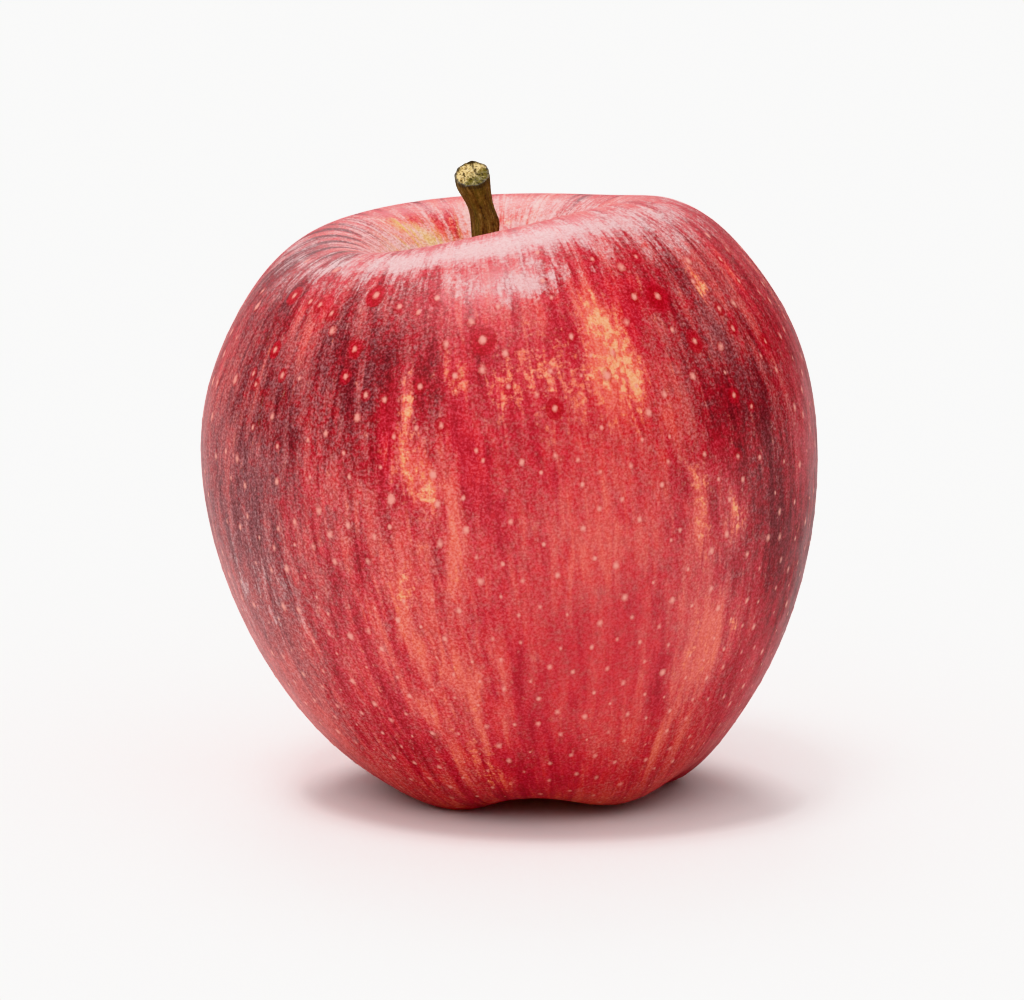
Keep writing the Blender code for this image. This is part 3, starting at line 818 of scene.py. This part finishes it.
def makeLenticels(skin, material):
    form = lenticelForm
    small, large = form["size"]
    return grow("lenticels", markMesh(), lenticelTree, {
        "Skin": skin, "Spacing": form["spacing"] * mm, "Clearance": form["clearance"] * mm,
        "Small": small * mm, "Large": large * mm, "Dot Share": form["dotShare"], "Lift": form["lift"] * mm,
        "Sink": form["sink"] * mm, "Seed": form["seed"], "Sides": form["sides"], "Rings": form["rings"],
        "Material": material})


lenticels = makeLenticels(skin, skinMaterial)
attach(lenticels, "root")
print("lenticels made:", len(lenticels.data.polygons), "faces")


# stem

stemForm = {
    # middle line in mm on the upright core line: x, y, height, half thickness
    "line": [(0, 0, 49.8, 2.10), (0, 0, 54, 1.80), (0.1, 0.1, 59, 1.65), (0, 0.1, 64, 1.58),
             (-0.24, 0, 67.3, 1.60), (0.04, 0, 70.2, 1.66), (-0.28, 0, 72.2, 1.44), (-0.86, 0, 74.3, 2.03),
             (-0.86, 0, 76.5, 2.18), (-0.86, 0, 78.8, 2.28)],
    "cutAt": (-0.7, 0.0, 75.9),
    "cutBetween": (72.0, 78.4),   # heights that the cut's edge lies between
    "cutLeanDeg": 30.0,
    "sides": 64,
    "rows": 90, "crowding": 0.92,  # below 1 the rows crowd towards the cut
    # soft swellings: azimuth in degrees, height, half spread in degrees, half height, amount in mm
    "swellings": [(350, 69.9, 42, 1.1, 0.20), (60, 62.0, 50, 2.4, 0.15), (130, 68.0, 40, 2.0, 0.12),
                  (255, 64.0, 30, 1.5, 0.08), (200, 74.6, 40, 0.9, 0.10)],
    "knot": (312, 69.8, 12, 0.32, -0.16),
    "ribs": 0.055,                # depth of the lengthwise ribs, in mm
    "seed": 3,
    # rings over the bark's lip, as shares of the cut's reach, and how much of the lip each takes
    "lipRings": ((0.985, 0.6), (0.955, 1.0), (0.92, 0.8), (0.885, 0.1)),
    "cutRings": (0.84, 0.77, 0.69, 0.60, 0.50, 0.40, 0.30, 0.20, 0.10),
    "tornDeg": 88,                # where the lip is torn
    "fibreSeed": 21,
    "roughness": 0.040, "crackDepth": 0.26,  # on the cut, in mm
    "bark": (0.105, 0.055, 0.014), "barkLight": (0.27, 0.175, 0.065), "barkDark": (0.016, 0.008, 0.004),
    "barkRed": (0.085, 0.024, 0.008), "barkGreen": (0.105, 0.078, 0.016),
    "wood": (0.43, 0.27, 0.070), "woodPale": (0.74, 0.58, 0.27), "woodOlive": (0.150, 0.115, 0.020),
    "woodDark": (0.030, 0.018, 0.007),
}


def stemLine(heights):
    fine = smoothCurve(stemForm["line"], 400)
    return np.stack([np.interp(heights, fine[:, 2], fine[:, axis]) for axis in (0, 1, 3)])


def waver(azimuth, height, seed, waves, turnsHigh, length):
    # smooth seeded unevenness that closes round the stem
    draw = np.random.default_rng(seed)
    total = np.zeros(np.broadcast(azimuth, height).shape)
    for _ in range(waves):
        turns = draw.integers(2, turnsHigh)
        rate = draw.uniform(-1, 1) * 2 * math.pi / length
        total = total + np.cos(turns * azimuth + rate * height + draw.uniform(0, 6.3))
    return total / math.sqrt(waves)


def stemSurface(azimuth, height):
    form = stemForm
    x, y, thick = stemLine(height)
    for middle, level, spread, tall, amount in form["swellings"] + [form["knot"]]:
        thick = thick + amount * facing(azimuth, middle, spread) * bell(height, level, tall)
    thick = thick + form["ribs"] * waver(azimuth, height, form["seed"], 9, 15, 30.0)
    thick = thick + 0.35 * form["ribs"] * waver(azimuth, height, form["seed"] + 1, 9, 26, 9.0)
    return np.stack([x + thick * np.cos(azimuth), y + thick * np.sin(azimuth), height + 0 * azimuth], -1)


def stemSide(azimuth, cutAt, normal):
    # the height at which each line up the side meets the cut, then rows of points up to it
    low, high = (np.full_like(azimuth, level) for level in stemForm["cutBetween"])
    for _ in range(40):
        middle = (low + high) / 2
        above = (stemSurface(azimuth, middle) - cutAt) @ normal > 0
        high = np.where(above, middle, high)
        low = np.where(above, low, middle)
    root = stemForm["line"][0][2]
    share = np.linspace(0, 1, stemForm["rows"]) ** stemForm["crowding"]
    return stemSurface(azimuth[:, None], root + (low - root)[:, None] * share[None])


def cutRelief(u, v, share):
    # depth of the cut at a place across it and up it, in mm, and how deep in a crack that is
    draw = np.random.default_rng(stemForm["fibreSeed"])
    rough = np.zeros_like(u)
    for _ in range(16):
        turn = draw.uniform(0, 6.3)
        rate = draw.uniform(4, 13)
        rough += np.cos(rate * (u * math.cos(turn) + v * math.sin(turn)) + draw.uniform(0, 6.3))
    crack = bell(u + 0.25 * v, 0.55, 0.13) * rise(v, -0.1, 0.5)
    branch = bell(v - 0.25 * (u - 0.55), 0.15, 0.11) * rise(u, 0.4, 0.3)
    crack = np.maximum(crack, branch) * (share < 0.8)
    hump = 0.16 * bell(u, -0.45, 0.8) * bell(v, 0.3, 0.6)
    return -0.10 + stemForm["roughness"] * rough - stemForm["crackDepth"] * crack + hump, crack


def makeStemMesh():
    form = stemForm
    lean = math.radians(form["cutLeanDeg"])
    normal = np.array([0.0, -math.sin(lean), math.cos(lean)])
    upCut = np.array([0.0, math.cos(lean), math.sin(lean)])
    azimuth = np.linspace(0, 2 * math.pi, form["sides"], endpoint=False)
    side = stemSide(azimuth, np.array(form["cutAt"]), normal)
    centre = side[:, -1].mean(0)
    out = side[:, -1] - centre

    # the bark's lip rises a little over the cut and is torn at the back
    torn = bell(np.degrees(azimuth), form["tornDeg"], 13)
    lip = 0.05 + 0.035 * waver(azimuth, 0.0, 8, 7, 12, 5.0) + 0.22 * torn
    rings = [side]
    for share, lift in form["lipRings"]:
        rings.append((centre + out * share + normal * (lip * lift)[:, None])[:, None])
    cracks = []
    for share in form["cutRings"]:
        flat = centre + out * share
        depth, crack = cutRelief(flat[:, 0] - centre[0], (flat - centre) @ upCut, share)
        cracks.append(crack)
        rings.append((flat + normal * depth[:, None])[:, None])
    points = np.concatenate(rings, 1)
    mesh = gridMesh("appleStem", leanOver(points))

    # for the material: to the right, upwards, and 1 on the cut wood
    turn = np.broadcast_to(azimuth[:, None], points.shape[:2])
    height = points[..., 2]
    rows = form["rows"]
    onCut = np.broadcast_to(np.arange(points.shape[1]) >= rows + 3, turn.shape).astype(float)
    storeVectors(mesh, "cut", (points[..., 0] - centre[0], (points - centre) @ upCut, onCut),
                 ((0, 0, 0), (0, 0, 1)))
    storeVectors(mesh, "bark", (np.cos(turn), np.sin(turn), height / 20), ((1, 0, height[0, 0] / 20),) * 2)
    # how dark the knot, the rim of the cut and its cracks are
    middle, level, spread, tall, _ = form["knot"]
    knot = facing(turn, middle, spread * 0.7) * bell(height, level, tall * 0.8)
    rim, crack = np.zeros_like(knot), np.zeros_like(knot)
    rim[:, rows - 2:rows + 4] = 1.0
    crack[:, rows + 4:] = np.stack(cracks, 1)
    storeVectors(mesh, "stain", (knot, rim, crack), ((0, 0, 0), (0, 0, 0)))
    return mesh


def makeBarkMaterial():
    form = stemForm
    material, tree, shader = newMaterial("stalkBark", 0.62)
    place = objectPlace(tree)
    bark = attributeOf(tree, "bark")
    right, upward, onCut = split(tree, attributeOf(tree, "cut"))
    knot, rim, crack = split(tree, attributeOf(tree, "stain"))
    barkParts = split(tree, bark)
    streak = noise(tree, stretched(tree, bark, (2.2, 2.2, 3.0)), 1.0, 4.0, 0.6)
    thread = noise(tree, stretched(tree, bark, (5.5, 5.5, 9.0)), 1.0, 4.0, 0.7)
    grit = noise(tree, place, 3800.0, 3.0, 0.7)
    colour = layer(tree, form["bark"], form["barkGreen"], streak, 0.38, 0.60)
    redder = weigh(tree, 14.3, (barkParts[2], barkParts[0]), (-4.0, 0.5))
    colour = layer(tree, colour, form["barkRed"], redder, 0.0, 1.2, 0.8)
    worn = weigh(tree, 0.0, (thread, grit), (0.65, 0.35))
    colour = layer(tree, colour, form["barkLight"], worn, 0.48, 0.62, 0.85)
    colour = layer(tree, colour, form["barkDark"], worn, 0.49, 0.38, 0.85)
    colour = blendColour(tree, times(tree, knot, 0.9), colour, form["barkDark"])

    # the cut: warm fibres at the upper left, olive ones below and to the right, dark between them
    fibre = noise(tree, place, 1900.0, 3.0, 0.65)
    speck = noise(tree, place, 3300.0, 2.0, 0.6)
    olive = weigh(tree, 0.0, (right, upward, fibre), (0.40, -0.45, 2.2))
    gap = calc(tree, "MULTIPLY_ADD", fibre, 0.6, speck)
    wood = layer(tree, form["wood"], form["woodPale"], speck, 0.42, 0.60)
    wood = layer(tree, wood, form["woodOlive"], olive, 1.0, 1.5)
    wood = layer(tree, wood, form["woodPale"], speck, 0.58, 0.66, 0.7)
    wood = layer(tree, wood, form["woodDark"], gap, 0.76, 0.66, 0.9)
    wood = blendColour(tree, times(tree, crack, 0.9), wood, form["woodDark"])
    colour = layer(tree, colour, wood, onCut, 0.35, 0.75)
    # darker round the rim of the cut
    rimDark = times(tree, rim, remap(tree, thread, 0.62, 0.42, 0.25, 0.95))
    colour = blendColour(tree, rimDark, colour, form["woodDark"])
    tree.links.new(colour, shader.inputs["Base Color"])
    addBump(tree, shader, weigh(tree, 0.0, (thread, grit), (1.6, 0.5)), 0.22 * mm, 0.9)
    return material


stem = newPiece("appleStem", makeStemMesh(), makeBarkMaterial())
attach(stem, "root")
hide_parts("stem")
print("stem made")


# dried calyx and stamens, up in the hollow underneath

calyxForm = {
    "sepals": 5,
    # along a sepal, in mm: distance from the core line, height, half width, half thickness
    "line": [(2.95, 11.0, 1.50, 0.26), (2.70, 9.2, 1.45, 0.24), (2.00, 7.4, 1.05, 0.20),
             (1.70, 5.8, 0.85, 0.17), (2.60, 4.4, 0.60, 0.13), (3.90, 3.9, 0.25, 0.06)],
    "cup": 0.22,                  # how much a sepal curls across its width
    "ring": (2.9, 10.9, 0.42),    # the ring they grow from: radius, height, half thickness
    "hairs": 6500000.0,           # to the square metre
    "hairLength": 0.55, "hairWidth": 0.022,  # in mm
    "colours": ((0.105, 0.055, 0.026), (0.33, 0.25, 0.15), (0.022, 0.012, 0.007)),
    "grain": 900.0,
}

stamenForm = {
    "count": 11, "length": 3.6, "half": 0.16,  # length and half thickness in mm
    "goldenTurn": 2.39996,        # from one root to the next, in radians
    "disc": (3.3, 12.1, 14.1),    # what they hang from: radius, lowest and highest level in mm
    "seed": 7,
    "colours": ((0.070, 0.036, 0.016), (0.16, 0.10, 0.05), (0.020, 0.011, 0.006)),
    "grain": 1400.0,
}


def makeDryMaterial(name, form):
    plain, pale, dark = form["colours"]
    material, tree, shader = newMaterial(name, 0.8)
    place = objectPlace(tree)
    grown = noise(tree, place, form["grain"], 4.0, 0.65)
    fine = noise(tree, place, form["grain"] * 4, 3.0, 0.65)
    colour = layer(tree, plain, pale, grown, 0.35, 0.62)
    colour = layer(tree, colour, dark, fine, 0.48, 0.36, 0.8)
    tree.links.new(colour, shader.inputs["Base Color"])
    addBump(tree, shader, calc(tree, "ADD", grown, fine), 0.1 * mm, 0.7)
    return material


def sepalMesh():
    # one sepal at azimuth 0, upright on the core line
    line = smoothCurve(calyxForm["line"], 26)
    around = np.linspace(0, 2 * math.pi, 20, endpoint=False)[:, None]
    slope = np.gradient(line[:, :2], axis=0)
    slope /= np.linalg.norm(slope, axis=1)[:, None]
    away, height, halfWidth, half = line.T
    wide = np.cos(around) * halfWidth
    vein = 0.05 * bell(wide, 0, 0.22) + 0.04 * np.cos(wide * 9 + height * 2)
    bend = calyxForm["cup"] * wide ** 2 + vein + 0.10 * np.sin(height * 2.2 + wide * 1.6)
    thick = np.sin(around) * half + bend
    points = np.stack([away + thick * slope[:, 1], wide, height - thick * slope[:, 0]], -1)
    return gridMesh("sepal", points * mm)


def calyxTree(values):
    tree, given, result = newTree("growCalyx", values)
    points = addNode(tree, "GeometryNodePoints", {"Count": given["Sepals"]})["Points"]
    number = addNode(tree, "GeometryNodeInputIndex")["Index"]
    turn = calc(tree, "MULTIPLY_ADD", calc(tree, "ADD", number, 0.5),
                calc(tree, "DIVIDE", 2 * math.pi, given["Sepals"]), randomValue(tree, -0.09, 0.09, 4))
    size = randomValue(tree, 0.93, 1.02, 9)
    sepals = standOn(tree, points, given["Geometry"], combine(tree, z=turn), combine(tree, size, size, 1.0))

    # woolly hairs all over them
    strewn = addNode(tree, "GeometryNodeDistributePointsOnFaces", {
        "Mesh": sepals, "Density": given["Hairs"], "Seed": 3}, distribute_method="RANDOM")
    hair = addNode(tree, "GeometryNodeMeshCone", {
        "Vertices": 3, "Side Segments": 2, "Radius Top": 0.0, "Radius Bottom": given["Hair Width"],
        "Depth": given["Hair Length"]}, fill_type="NONE")["Mesh"]
    tilt = randomValue(tree, (-0.9, -0.9, 0.0), (0.9, 0.9, 6.3), 6)
    leant = addNode(tree, "FunctionNodeRotateRotation", {
        "Rotation": strewn["Rotation"], "Rotate By": tilt}, rotation_space="LOCAL")["Rotation"]
    hairs = standOn(tree, strewn["Points"], hair, leant, randomValue(tree, 0.4, 1.2, 8))

    # the ring that they grow from
    hoop, section = (
        addNode(tree, "GeometryNodeCurvePrimitiveCircle", {"Resolution": sides, "Radius": radius},
                mode="RADIUS")["Curve"]
        for sides, radius in ((60, given["Ring Radius"]), (12, given["Ring Half"])))
    ring = addNode(tree, "GeometryNodeCurveToMesh", {"Curve": hoop, "Profile Curve": section})["Mesh"]
    ring = change(tree, "Transform", ring, {"Translation": combine(tree, z=given["Ring Height"])})
    return finishTree(tree, given, result, leanWithCore(tree, given, joinParts(tree, sepals, hairs, ring)))


def makeCalyx():
    form = calyxForm
    radius, height, half = form["ring"]
    return grow("appleSepals", sepalMesh(), calyxTree, {
        "Sepals": form["sepals"], "Ring Radius": radius * mm, "Ring Height": height * mm,
        "Ring Half": half * mm, "Hairs": form["hairs"], "Hair Length": form["hairLength"] * mm,
        "Hair Width": form["hairWidth"] * mm, "Material": makeDryMaterial("drySepal", form), **coreInputs()})


def threadMesh():
    # one bent thread, its root at the origin, hanging down, with a swollen tip
    form = stamenForm
    down = np.linspace(0, 1, 16)
    swell = 1 - 0.35 * down + 1.1 * bell(down, 0.93, 0.07)
    half = form["half"] * swell * np.clip((1.03 - down) / 0.06, 0.15, 1)
    around = np.linspace(0, 2 * math.pi, 8, endpoint=False)[:, None]
    points = np.stack([
        np.cos(around) * half + 0.45 * np.sin(down * 2.4) * down,
        np.sin(around) * half + 0.15 * np.sin(down * 5.0),
        -form["length"] * down + 0 * around,
    ], -1)
    return gridMesh("thread", points[:, ::-1] * mm)


def stamenTree(values):
    tree, given, result = newTree("growStamens", values)
    disc = addNode(tree, "GeometryNodeMeshCylinder", {
        "Vertices": 40, "Side Segments": 2, "Fill Segments": 3, "Radius": given["Disc Radius"],
        "Depth": calc(tree, "SUBTRACT", given["Disc High"], given["Disc Low"])})["Mesh"]
    middle = times(tree, calc(tree, "ADD", given["Disc High"], given["Disc Low"]), 0.5)
    disc = change(tree, "Transform", disc, {"Translation": combine(tree, z=middle)})

    # the roots spiral outwards over the inner half of the disc
    points = addNode(tree, "GeometryNodePoints", {"Count": given["Count"]})["Points"]
    number = addNode(tree, "GeometryNodeInputIndex")["Index"]
    turn = times(tree, number, stamenForm["goldenTurn"])
    share = calc(tree, "SQRT", calc(tree, "DIVIDE", calc(tree, "ADD", number, 0.6), given["Count"]))
    reach = times(tree, share, times(tree, given["Disc Radius"], 0.50))
    rootLevel = calc(tree, "ADD", given["Disc Low"], 0.3 * mm)
    spot = combine(tree, times(tree, reach, calc(tree, "COSINE", turn)),
                   times(tree, reach, calc(tree, "SINE", turn)), rootLevel)
    points = change(tree, "SetPosition", points, {"Position": spot})
    sway = randomValue(tree, (-0.16, -0.16, -3.1), (0.16, 0.16, 3.1), given["Seed"])
    threads = standOn(tree, points, given["Geometry"], sway, randomValue(tree, 0.8, 1.05, 12))
    return finishTree(tree, given, result, leanWithCore(tree, given, joinParts(tree, threads, disc)))


def makeStamens():
    form = stamenForm
    radius, low, high = form["disc"]
    return grow("appleStamens", threadMesh(), stamenTree, {
        "Count": form["count"], "Disc Radius": radius * mm, "Disc Low": low * mm, "Disc High": high * mm,
        "Seed": form["seed"], "Material": makeDryMaterial("dryStamen", form), **coreInputs()})


calyx = makeCalyx()
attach(calyx, "root")
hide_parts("calyx")
stamens = makeStamens()
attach(stamens, "root")
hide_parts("stamens")
print("calyx and stamens made")


# floor, light and camera

studio = {
    "floorColour": (0.9, 0.9, 0.895),
    "floorHalf": 4.0,
    # brightness of the sky: near the horizon and overhead, then what that is multiplied by in
    # front and behind, and at the sides, where the studio is darker
    "skyLow": 0.70, "skyHigh": 1.50,
    "skyFront": 1.22, "skyBack": 0.84,
    "skyRight": 0.36, "skyLeft": 0.55,
    "lamps": {  # soft lamps: where each one is, its strength, its spread in degrees
        "overhead": ((-0.192, -0.173, 0.966), 1.90, 18.0),
        "behind": ((-0.090, 0.640, 0.763), 1.40, 24.0),
    },
    "lensMm": 216.6,
    "distance": 0.75,
    "aim": (0.00022, -0.00003, 0.0356),
    "elevationDeg": 11.0,
}


def makeFloor():
    half = studio["floorHalf"]
    mesh = bpy.data.meshes.new("floor")
    corners = [(-half, -half, 0), (half, -half, 0), (half, half, 0), (-half, half, 0)]
    mesh.from_pydata(corners, [], [(0, 1, 2, 3)])
    material, _, shader = newMaterial("floor", 0.9)
    shader.inputs["Base Color"].default_value = (*studio["floorColour"], 1)
    shader.inputs["Specular IOR Level"].default_value = 0.0
    newPiece("floor", mesh, material)


def makeSky(scene):
    scene.world = bpy.data.worlds.new("studio")
    scene.world.use_nodes = True
    tree = scene.world.node_tree
    x, y, z = split(tree, addNode(tree, "ShaderNodeTexCoord")["Generated"])
    glow = times(tree, remap(tree, z, 0.0, 0.75, studio["skyLow"], studio["skyHigh"]),
                 remap(tree, y, -1.0, 1.0, studio["skyFront"], studio["skyBack"]),
                 remap(tree, x, -0.1, 0.8, 1.0, studio["skyRight"]),
                 remap(tree, x, -0.2, -0.9, 1.0, studio["skyLeft"]))
    background = tree.nodes["Background"].inputs
    tree.links.new(glow, background["Strength"])
    background["Color"].default_value = (1, 1, 1, 1)


def makeStudio():
    scene = bpy.context.scene
    scene.view_settings.view_transform = "Khronos PBR Neutral"
    makeFloor()
    makeSky(scene)
    for name, (towards, strength, spreadDeg) in studio["lamps"].items():
        light = bpy.data.lights.new(name, "SUN")
        light.energy = strength
        light.angle = math.radians(spreadDeg)
        lamp = bpy.data.objects.new(name, light)
        lamp.rotation_euler = Vector(towards).to_track_quat("Z", "Y").to_euler()
        scene.collection.objects.link(lamp)

    camera = bpy.data.cameras.new("camera")
    camera.lens = studio["lensMm"]
    camera.sensor_width = 36.0
    view = bpy.data.objects.new("camera", camera)
    elevation = math.radians(studio["elevationDeg"])
    away = Vector((0, -math.cos(elevation), math.sin(elevation)))
    view.location = Vector(studio["aim"]) + away * studio["distance"]
    view.rotation_euler = away.to_track_quat("Z", "Y").to_euler()
    scene.collection.objects.link(view)
    scene.camera = view


makeStudio()
print("studio made")
